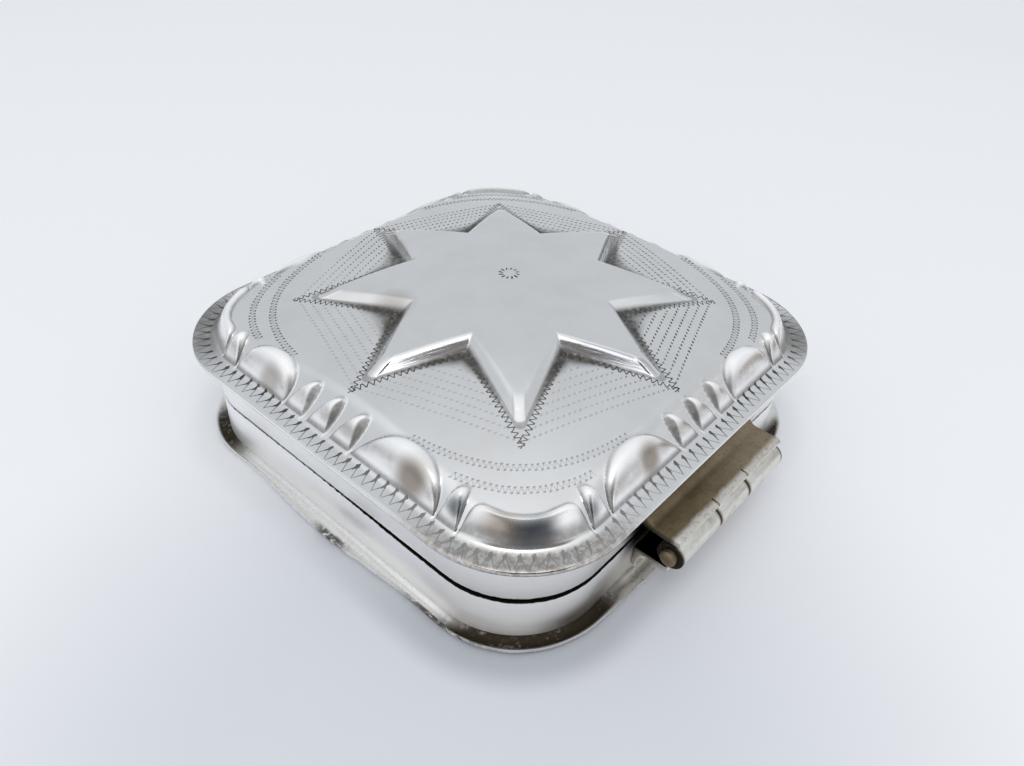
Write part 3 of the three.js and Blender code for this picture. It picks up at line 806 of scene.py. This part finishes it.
def path_object(name, paths):
    """Flat lines as one object; a path is a list of points and whether it closes."""
    points, edges = [], []
    for line, closed in paths:
        first = len(points)
        points += [(x, y, 0) for x, y in line]
        edges += [(k, k + 1) for k in range(first, len(points) - 1)]
        if closed:
            edges.append((len(points) - 1, first))
    mesh = bpy.data.meshes.new(name)
    mesh.from_pydata(points, edges, [])
    return new_object(name, mesh)


def engraving_tree():
    """Sets a cut along flat lines at a pitch, a little uneven by hand, and lays it onto the lid."""
    nodes, size = shape_tree("engraving", ("Pitch", "Least Size", "Most Size", "Turn Slip"),
                             Cut="Object", Lid="Object", Seed="Int")

    def uneven(least, most, seed):
        sockets = {2: least, 3: most, "Seed": seed}
        return nodes.node("FunctionNodeRandomValue", sockets, out=1, data_type="FLOAT")

    spaced = evenly(nodes, nodes.node("GeometryNodeMeshToCurve", {"Mesh": size}), size["Pitch"])
    tangent = {"Vector": nodes.node("GeometryNodeInputTangent")}
    facing = nodes.node("FunctionNodeAlignRotationToVector", tangent, axis="X", pivot_axis="Z")
    scale = uneven(size["Least Size"], size["Most Size"], size["Seed"])
    slip = uneven(size["Turn Slip"] * -1, size["Turn Slip"], size["Seed"] + 7)
    sockets = {"Rotation": facing, "Rotate By": nodes.joined(z=slip)}
    turned_by = nodes.node("FunctionNodeRotateRotation", sockets)
    cut = nodes.node("GeometryNodeObjectInfo", {"Object": size["Cut"]}, out="Geometry")
    lid = nodes.node("GeometryNodeObjectInfo", {"Object": size["Lid"]}, out="Geometry")
    set_on = nodes.node("GeometryNodeInstanceOnPoints", {
        "Points": spaced, "Instance": cut, "Rotation": turned_by, "Scale": scale})
    real = nodes.node("GeometryNodeRealizeInstances", {"Geometry": set_on})
    spot = nodes.node("GeometryNodeInputPosition")
    above = nodes.vector("ADD", spot, (0, 0, 50 * MM))
    hit = nodes.node("GeometryNodeRaycast", {
        "Target Geometry": lid, "Source Position": above, "Ray Direction": (0, 0, -1),
        "Ray Length": 100 * MM})
    sockets = {0: hit["Hit Normal"], "Scale": spot.parts()[2]}
    raised = nodes.node("ShaderNodeVectorMath", sockets, operation="SCALE")
    return finish_shape(nodes, size, real, nodes.vector("ADD", hit["Hit Position"], raised))


def eight_ways(points):
    """A path near the +X axis, and its mirror, in all four quarters."""
    line = np.array(points)
    return [(turned(each, turn), False) for turn in range(4) for each in (line, line * (1, -1))]


def rim_path():
    """The row of heads round the rim, further out by the flutes and corners than by the shells."""
    inset, sway, length = 1.25 * MM, 0.15 * MM, 14 * MM
    half = STRAIGHT + (RIM_CORNER - inset) * math.pi / 4
    ways = np.linspace(-half, half, 160, endpoint=False)
    insets = inset - sway * np.cos(2 * math.pi * ways / length)
    points = np.concatenate([outline(ways, insets, turn, inset) for turn in range(4)])
    steps = np.linalg.norm(points - np.roll(points, 1, axis=0), axis=1)
    return [(points, True)], steps.sum() / RIM_CUTS


def star_corners(valley):
    """A valley of the engraved star, and the tips on both sides of it."""
    corner = CUT_CORNER_TIP * np.array([1, 1]) * math.sqrt(0.5)
    return valley * VALLEY_WAY, np.array([CUT_SIDE_TIP, 0]), corner


def star_paths():
    """The sixteen edges of the star's outline, from each valley out to the engraved tips."""
    low, side, corner = star_corners(CUT_VALLEY)
    return eight_ways([low, side]) + eight_ways([low, corner])


def sector_paths():
    """The fine lines between two points of the star, alongside the chord of their tips."""
    low, side, corner = star_corners(CUT_VALLEY + 0.9 * MM)
    side = side + np.array([0, 0.3]) * MM
    corner = corner + np.array([0.2, -0.2]) * MM
    paths = []
    for share in np.arange(1, SECTOR_LINES + 1) / (SECTOR_LINES + 0.4):
        paths += eight_ways([low + (side - low) * share, low + (corner - low) * share])
    return paths


def corner_paths():
    """Two bent bands across each corner."""
    paths = []
    for start, middle in (((16.05, 6.2), (12.95, 12.95)), ((16.3, 10.2), (14.1, 14.1))):
        start, middle = np.array(start) * MM, np.array(middle) * MM
        end = start[::-1]
        bend = 2 * middle - (start + end) / 2
        steps = np.linspace(0, 1, 24)[:, None]
        line = (1 - steps) ** 2 * start + 2 * steps * (1 - steps) * bend + steps ** 2 * end
        paths += [(turned(line, turn), False) for turn in range(4)]
    return paths


def rosette_path():
    """The ring of dashes at the middle."""
    angles = np.linspace(0, 2 * math.pi, 48, endpoint=False)
    radius, dashes = 0.68 * MM, 12
    return [(np.column_stack([np.cos(angles), np.sin(angles)]) * radius, True)], 2 * math.pi * radius / dashes


def engrave(lid, dark, worn, faint):
    """All the engraving of the lid."""
    tree = engraving_tree()
    rim, rim_pitch = rim_path()
    ring, ring_pitch = rosette_path()
    rows = (
        ("rim_zigzag", "rim_cut", rim, rim_pitch, dark, 0.06, 0.06, 3),
        ("star_zigzag", "star_cut", star_paths(), 0.46 * MM, dark, 0.1, 0.15, 5),
        ("corner_bands", "band_cut", corner_paths(), 0.38 * MM, worn, 0.08, 0.12, 8),
        ("sector_lines", "sector_cut", sector_paths(), 0.42 * MM, faint, 0.15, 0.3, 11),
        ("centre_rosette", "rosette_cut", ring, ring_pitch, dark, 0.15, 0.2, 13),
    )
    for name, tool, paths, pitch, finish, uneven, slip, seed in rows:
        cut = cut_object(tool)
        piece = path_object(name, paths)
        run_shape(piece, tree, {
            "Pitch": pitch, "Cut": cut, "Lid": lid, "Least Size": 1 - uneven, "Most Size": 1 + uneven,
            "Turn Slip": slip, "Seed": seed, "Finish": finish,
        })
        bpy.data.objects.remove(cut)
        put(piece, "lid", "embossed_silver")


# Walls

def strip_tree():
    """A strip of sheet bent round the box, with soft edges, slight waves and a foot that may hang lower."""
    nodes, size = shape_tree("bent_strip", (
        "Half", "Corner", "Sheet", "Foot", "Height", "Edge", "Spacing", "Waves", "Wave Size", "Droop"),
        Steps="Int")

    def rounded(width, height, radius, count):
        sockets = {"Width": width, "Height": height}
        sharp = nodes.node("GeometryNodeCurvePrimitiveQuadrilateral", sockets)
        sockets = {"Curve": sharp, "Radius": radius, "Count": count}
        return nodes.node("GeometryNodeFilletCurve", sockets, mode="POLY")

    sheet, height = size["Sheet"], size["Height"]
    middle = (size["Half"] - sheet / 2) * 2
    bent = rounded(middle, middle, size["Corner"] - sheet / 2, size["Steps"])
    even = evenly(nodes, bent, size["Spacing"])
    upright = nodes.node("GeometryNodeSetCurveNormal", {"Curve": even}, mode="Z_UP")
    section = rounded(sheet, height, size["Edge"], 3)
    swept = nodes.node("GeometryNodeCurveToMesh", {"Curve": upright, "Profile Curve": section})
    spot = nodes.node("GeometryNodeInputPosition")
    x, y, z = spot.parts()
    inward = 1 - spot.noise(1 / size["Wave Size"], 1) * size["Waves"]
    lower = z.math("LESS_THAN", 0) * (x * 0.77 + y * 0.64).within(20, 8) * size["Droop"]
    level = z + size["Foot"] + height / 2 - lower
    return finish_shape(nodes, size, swept, nodes.joined(x * inward, y * inward, level))


def walls(sheet_finish, bezel_finish):
    """The body wall, the lid band and the bezel."""
    tree = strip_tree()
    rows = (
        ("box_wall", "box", "body_wall", WALL_LOW, WALL_HIGH, WALL_SHEET, 0.0, sheet_finish),
        ("lid_wall", "lid", "lid_band", BAND_LOW, BAND_HIGH, WALL_SHEET, 0.16 * MM, sheet_finish),
        ("bezel_strip", "box", "inner_bezel", BEZEL_LOW, BEZEL_HIGH, BEZEL_SHEET, 0.0, bezel_finish),
    )
    for name, body, node, low, high, sheet, droop, finish in rows:
        piece = new_object(name, bpy.data.meshes.new(name))
        run_shape(piece, tree, {
            "Half": high.x, "Corner": RIM_CORNER - (RIM_HALF - high.x), "Sheet": sheet, "Foot": low.z,
            "Height": high.z - low.z, "Edge": 0.08 * MM, "Steps": 24, "Spacing": 0.4 * MM, "Waves": 0.004,
            "Wave Size": 11 * MM, "Droop": droop, "Finish": finish,
        })
        outward(piece.data)
        soften(piece.data, 50)
        put(piece, body, "sheet_silver", node)


# Section of the flange: how far out it lies, its height in mm, its share of the waves and its raggedness
FLANGE_SECTION = (
    (-4, 0.6, 0, 0), (-1, 0.6, 0, 0), (-0.2, 0.6, 0, 0), (0.06, 0.57, 0, 0), (0.16, 0.5, 0.02, 0),
    (0.3, 0.45, 0.1, 0), (0.45, 0.42, 0.22, 0), (0.6, 0.44, 0.42, 0), (0.75, 0.5, 0.65, 0),
    (0.88, 0.58, 0.86, 0.3), (0.96, 0.63, 0.97, 0.7), (1, 0.63, 1, 1), (1.0, 0.55, 1, 1), (0.99, 0.4, 1, 1),
    (0.96, 0.32, 0.97, 0.7), (0.8, 0.2, 0.7, 0), (0.62, 0.06, 0.3, 0), (0.5, 0, 0, 0), (-2, 0, 0, 0),
)


def base_plate(finish):
    """The base sheet with its dished and wavy flange."""
    wall_inset = RIM_HALF - WALL_HIGH.x
    edge_inset = wall_inset - FLANGE_REACH
    half = STRAIGHT + (RIM_CORNER - edge_inset) * math.pi / 4
    steps, raggedness = 110, 0.05 * MM
    share = np.tile(np.arange(steps) / steps, 4)
    turn = np.repeat(np.arange(4), steps)
    angle = (turn + share) * math.pi / 2
    wave = sum(part * np.sin(count * angle + phase) for count, part, phase in FLANGE_WAVES)
    nicks = np.sin(37 * angle + 1.1) * np.sin(23 * angle)
    nicks += np.sin(61 * angle + 2.0) * np.sin(11 * angle + 0.7)
    along = half * (2 * share - 1)
    rings, flange = [], []
    for out, height, waved, ragged in FLANGE_SECTION:
        shift = waved * FLANGE_WAVE_OUT * wave - ragged * raggedness * (1 + nicks / 2)
        points = outline(along, wall_inset - FLANGE_REACH * out - shift, turn, edge_inset)
        rings.append(np.column_stack([points, height * MM + waved * FLANGE_WAVE_UP * wave]))
        flange.append(np.full(len(points), out))
    mesh = rings_mesh("base_sheet", (0, 0, BASE_SHEET), rings, (0, 0, 0))
    middle = [FLANGE_SECTION[0][0]]
    mark(mesh, "flange", np.concatenate([middle, *flange, middle]))
    soften(mesh, 60)
    mesh.materials.append(finish)
    put(new_object("base_sheet", mesh), "box", "base_silver", "base_plate")


# Hinge

def plate_section(reach):
    """Section of a hinge plate: out from the wall, and up from the face on the knuckles."""
    lip = PLATE_SHEET / 2
    rim = [(reach - lip + lip * math.sin(a), lip - lip * math.cos(a)) for a in np.linspace(0, math.pi, 9)]
    cove = [(PLATE_LEG + PLATE_COVE * (1 - math.sin(a)), PLATE_SHEET + PLATE_COVE * (1 - math.cos(a)))
            for a in np.linspace(0, math.pi / 2, 10)]
    return [(0, 0), *rim, *cove, (PLATE_LEG, PLATE_HEIGHT), (0, PLATE_HEIGHT)]


def hinge_plate(name, node, body, side, slits, finish):
    """A plate along the hinge line, on one side of the knuckles; at a slit its lip stands back."""
    low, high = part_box(node)
    reach = high.y - WALL_HIGH.y
    slope = 0.005 * MM
    cuts = [*np.linspace(low.x, high.x, 30)]
    for slit in slits:
        cuts += [slit - SLIT_HALF, slit - SLIT_HALF + slope, slit + SLIT_HALF - slope, slit + SLIT_HALF]
    cuts.sort()
    face = HINGE_Z + side * (KNUCKLE_RADIUS + PLATE_GAP)
    points, hollow = [], []
    for x in cuts:
        in_slit = any(abs(x - slit) < SLIT_HALF - slope / 2 for slit in slits)
        section = plate_section(reach - SLIT_DEPTH * in_slit)
        points += [(x, WALL_HIGH.y + out, face + side * up) for out, up in section]
        # Faces towards the knuckles, which the finish paints black as shade.
        hollow += [float(up == 0) for _, up in section]
    count = len(section)
    ends = [tuple(range(count)), tuple(range(len(points) - count, len(points)))]
    mesh = mesh_of(name, points, ends + row_faces(range(0, len(points), count), count))
    mark(mesh, "hollow", hollow)
    outward(mesh)
    piece = new_object(name, mesh)
    rounding = piece.modifiers.new("rounding", "BEVEL")
    rounding.width = 0.04 * MM
    rounding.segments = 2
    rounding.angle_limit = math.radians(40)
    settle(piece)
    soften(piece.data, 35)
    piece.data.materials.append(finish)
    put(piece, body, "tarnished_silver", node)


def turned_piece(name, end, finish, node, body, slot):
    """A piece turned about the hinge line, from the radius and depth of points on its two equal ends."""
    low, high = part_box(node)[0].x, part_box(node)[1].x
    profile = [(radius, low + depth) for radius, depth in end]
    profile += [(radius, high - depth) for radius, depth in reversed(end)]
    count = 48
    points = []
    for radius, along in profile:
        for angle in 2 * math.pi * np.arange(count) / count:
            points.append((along, HINGE_Y + radius * math.cos(angle), HINGE_Z + radius * math.sin(angle)))
    mesh = mesh_of(name, points, row_faces([*range(0, len(points), count), 0], count))
    outward(mesh)
    soften(mesh, 40)
    mesh.materials.append(finish)
    put(new_object(name, mesh), body, slot, node)


def hinge(plate_finish, tube_finish, pin_finish):
    """Both plates, the knuckles and the pin."""
    hinge_plate("lid_plate", "lid_hinge_plate", "lid", 1, (-SEAM_X, SEAM_X), plate_finish)
    hinge_plate("body_plate", "body_hinge_plate", "box", -1, (), plate_finish)
    soft, softer = 0.08 * MM, 0.02 * MM
    tube_end = [(KNUCKLE_BORE, 0), (KNUCKLE_RADIUS - soft, 0), (KNUCKLE_RADIUS - softer, softer),
                (KNUCKLE_RADIUS, soft)]
    pin_end = [(0, 0), (0.3 * MM, 0.02 * MM), (0.5 * MM, 0.07 * MM), (PIN_RADIUS, 0.2 * MM)]
    turned_piece("near_knuckle", tube_end, tube_finish, "body_knuckle_near", "box", "hinge_silver")
    turned_piece("far_knuckle", tube_end, tube_finish, "body_knuckle_far", "box", "hinge_silver")
    turned_piece("middle_knuckle", tube_end, tube_finish, "lid_knuckle", "lid", "hinge_silver")
    turned_piece("pin", pin_end, pin_finish, "hinge_pin", "box", "pin_metal")


# Studio

# The photo's camera: its place, its bearing, height and roll in degrees, and its lens in mm
CAMERA_EYE = Vector((41.66, 35.52, 47.61)) * MM
CAMERA_TURN = (129.733, 39.086, 3.198)
CAMERA_LENS = 28.813
SKY = (0.97, 0.985, 1.0, 1)


def camera():
    azimuth, elevation, roll = (math.radians(angle) for angle in CAMERA_TURN)
    level = math.cos(elevation)
    back = Vector((math.sin(azimuth) * level, -math.cos(azimuth) * level, math.sin(elevation)))
    right = (-back).cross(Vector((0, 0, 1))).normalized()
    up = right.cross(-back)
    side = right * math.cos(roll) + up * math.sin(roll)
    top = up * math.cos(roll) - right * math.sin(roll)
    lens = bpy.data.cameras.new("camera")
    lens.sensor_width = 36
    lens.sensor_fit = "HORIZONTAL"
    lens.lens = CAMERA_LENS
    lens.clip_start = 1 * MM
    made = new_object("camera", lens)
    made.matrix_world = Matrix.Translation(CAMERA_EYE) @ Matrix((side, top, back)).transposed().to_4x4()
    bpy.context.scene.camera = made


def floor():
    """Pale paper that the box stands on, with painted shadows in front of the box and along its foot."""
    half = 0.9
    corners = [(-half, -half, 0), (half, -half, 0), (half, half, 0), (-half, half, 0)]
    mesh = mesh_of("floor", corners, [(0, 1, 2, 3)])
    material, nodes, spot = new_finish("paper")
    cloud = spot.noise(14, 3)
    # Painted shadow: darker paper in front of the box.
    away = spot.away((0.026, 0.02, 0))
    painted_front_shadow = (away + (cloud - 0.5) * 0.015).span(0.042, 0.012)
    paper = painted_front_shadow.mix((0.93, 0.94, 0.965, 1), (0.72, 0.74, 0.785, 1))
    x, y, _ = spot.parts()
    # Painted contact shadow: darker paper along the box's foot, strongest by the near corner.
    aside, along = (x.size() - STRAIGHT).most(0), (y.size() - STRAIGHT).most(0)
    gap = (aside * aside + along * along) ** 0.5 - RIM_CORNER
    painted_contact_shadow = gap.within(2.8, 0.4) * (x + y).span(18 * MM, 36 * MM, 0.12, 0.6)
    color = painted_contact_shadow.mix(paper, (0.34, 0.36, 0.4, 1))
    coat(nodes, {"Base Color": color, "Roughness": 0.9})
    mesh.materials.append(material)
    new_object("floor", mesh)


def flag_card(name, start, end, height, fade, middle, sides, lift=0.0):
    """A dark card that stands round the box between two bearings and is seen only in the metal. It fades out
    towards its top and ends, its tone goes from the middle to the sides, and its ends may be lifted."""
    count, radius = 40, 0.16
    points = []
    for bearing in np.radians(np.linspace(start, end, count)):
        x, y = radius * math.cos(bearing), radius * math.sin(bearing)
        points += [(x, y, 1 * MM), (x, y, height)]
    faces = [(2 * k, 2 * k + 2, 2 * k + 3, 2 * k + 1) for k in range(count - 1)]
    mesh = mesh_of(name, points, faces)
    mark(mesh, "bearing", np.repeat(np.linspace(-1, 1, count), 2))
    material, nodes, spot = new_finish(name)
    aside = nodes.attribute("bearing").size()
    cloud = spot.noise(25, 3)
    level = spot.parts()[2]
    dark = (level + (cloud - 0.5) * (0.3 * fade)).span(height, height - fade)
    dark = dark * aside.span(1.0, 0.8)
    foot = aside.span(0.3, 0.65) * lift
    dark = dark * (level - foot).span(-0.03, 0.0)
    tone = (aside + (cloud - 0.5) * 0.6).span(0.1, 0.5).mix(middle, sides)
    coat(nodes, {"Base Color": (0, 0, 0, 1), "Specular IOR Level": 0.0, "Emission Strength": 1.0,
                 "Emission Color": dark.mix(SKY, tone)})
    mesh.materials.append(material)
    piece = new_object(name, mesh)
    piece.visible_camera = False
    piece.visible_diffuse = False
    piece.visible_shadow = False


def lights():
    world = bpy.data.worlds.new("studio")
    bpy.context.scene.world = world
    world.use_nodes = True
    nodes = Nodes(world.node_tree)
    ray = nodes.node("ShaderNodeTexCoord", out="Generated")
    glow = ray.along((0.45, 0.37, 0.81))
    tone = glow.span(0.3, 0.8).mix((0.62, 0.645, 0.67, 1), SKY)
    background = world.node_tree.nodes["Background"]
    nodes.feed(background.inputs["Color"], tone)
    nodes.feed(background.inputs["Strength"], 0.95)
    lamp = bpy.data.lights.new("softbox", "AREA")
    lamp.shape = "RECTANGLE"
    lamp.size, lamp.size_y = 0.26, 0.2
    lamp.energy = 0.22
    made = new_object("softbox", lamp)
    made.location = (0.15, 0.12, 0.3)
    made.rotation_euler = (Vector((0, 0, 0)) - made.location).to_track_quat("-Z", "Y").to_euler()


# Assembly
lid = lid_sheet(embossed_silver())
engrave(lid, engraved_line("dark_line", 0.08, (1, 1, 0), 14, 34, 0.4),
        engraved_line("worn_line", 0.13, (1, 1, 0), 8, 28, 0.6),
        engraved_line("faint_line", 0.12, (1, 0.2, 0), -2, 8, 0.85))
walls(sheet_silver(), bezel_silver())
base_plate(base_silver())
hinge(tarnished_silver(), hinge_silver(), pin_metal())
camera()
floor()
flag_card("front_card", 6, 98, 0.235, 0.05, (0.05, 0.065, 0.09, 1), (0.14, 0.11, 0.085, 1), lift=0.1)
flag_card("hinge_card", 130, 164, 0.042, 0.02, (0.2, 0.155, 0.115, 1), (0.25, 0.2, 0.16, 1))
flag_card("left_card", -118, -84, 0.036, 0.008, grey(0.1), grey(0.14))
flag_card("right_card", 166, 196, 0.036, 0.008, grey(0.12), grey(0.16))
lights()
bpy.context.scene.view_settings.view_transform = "Standard"
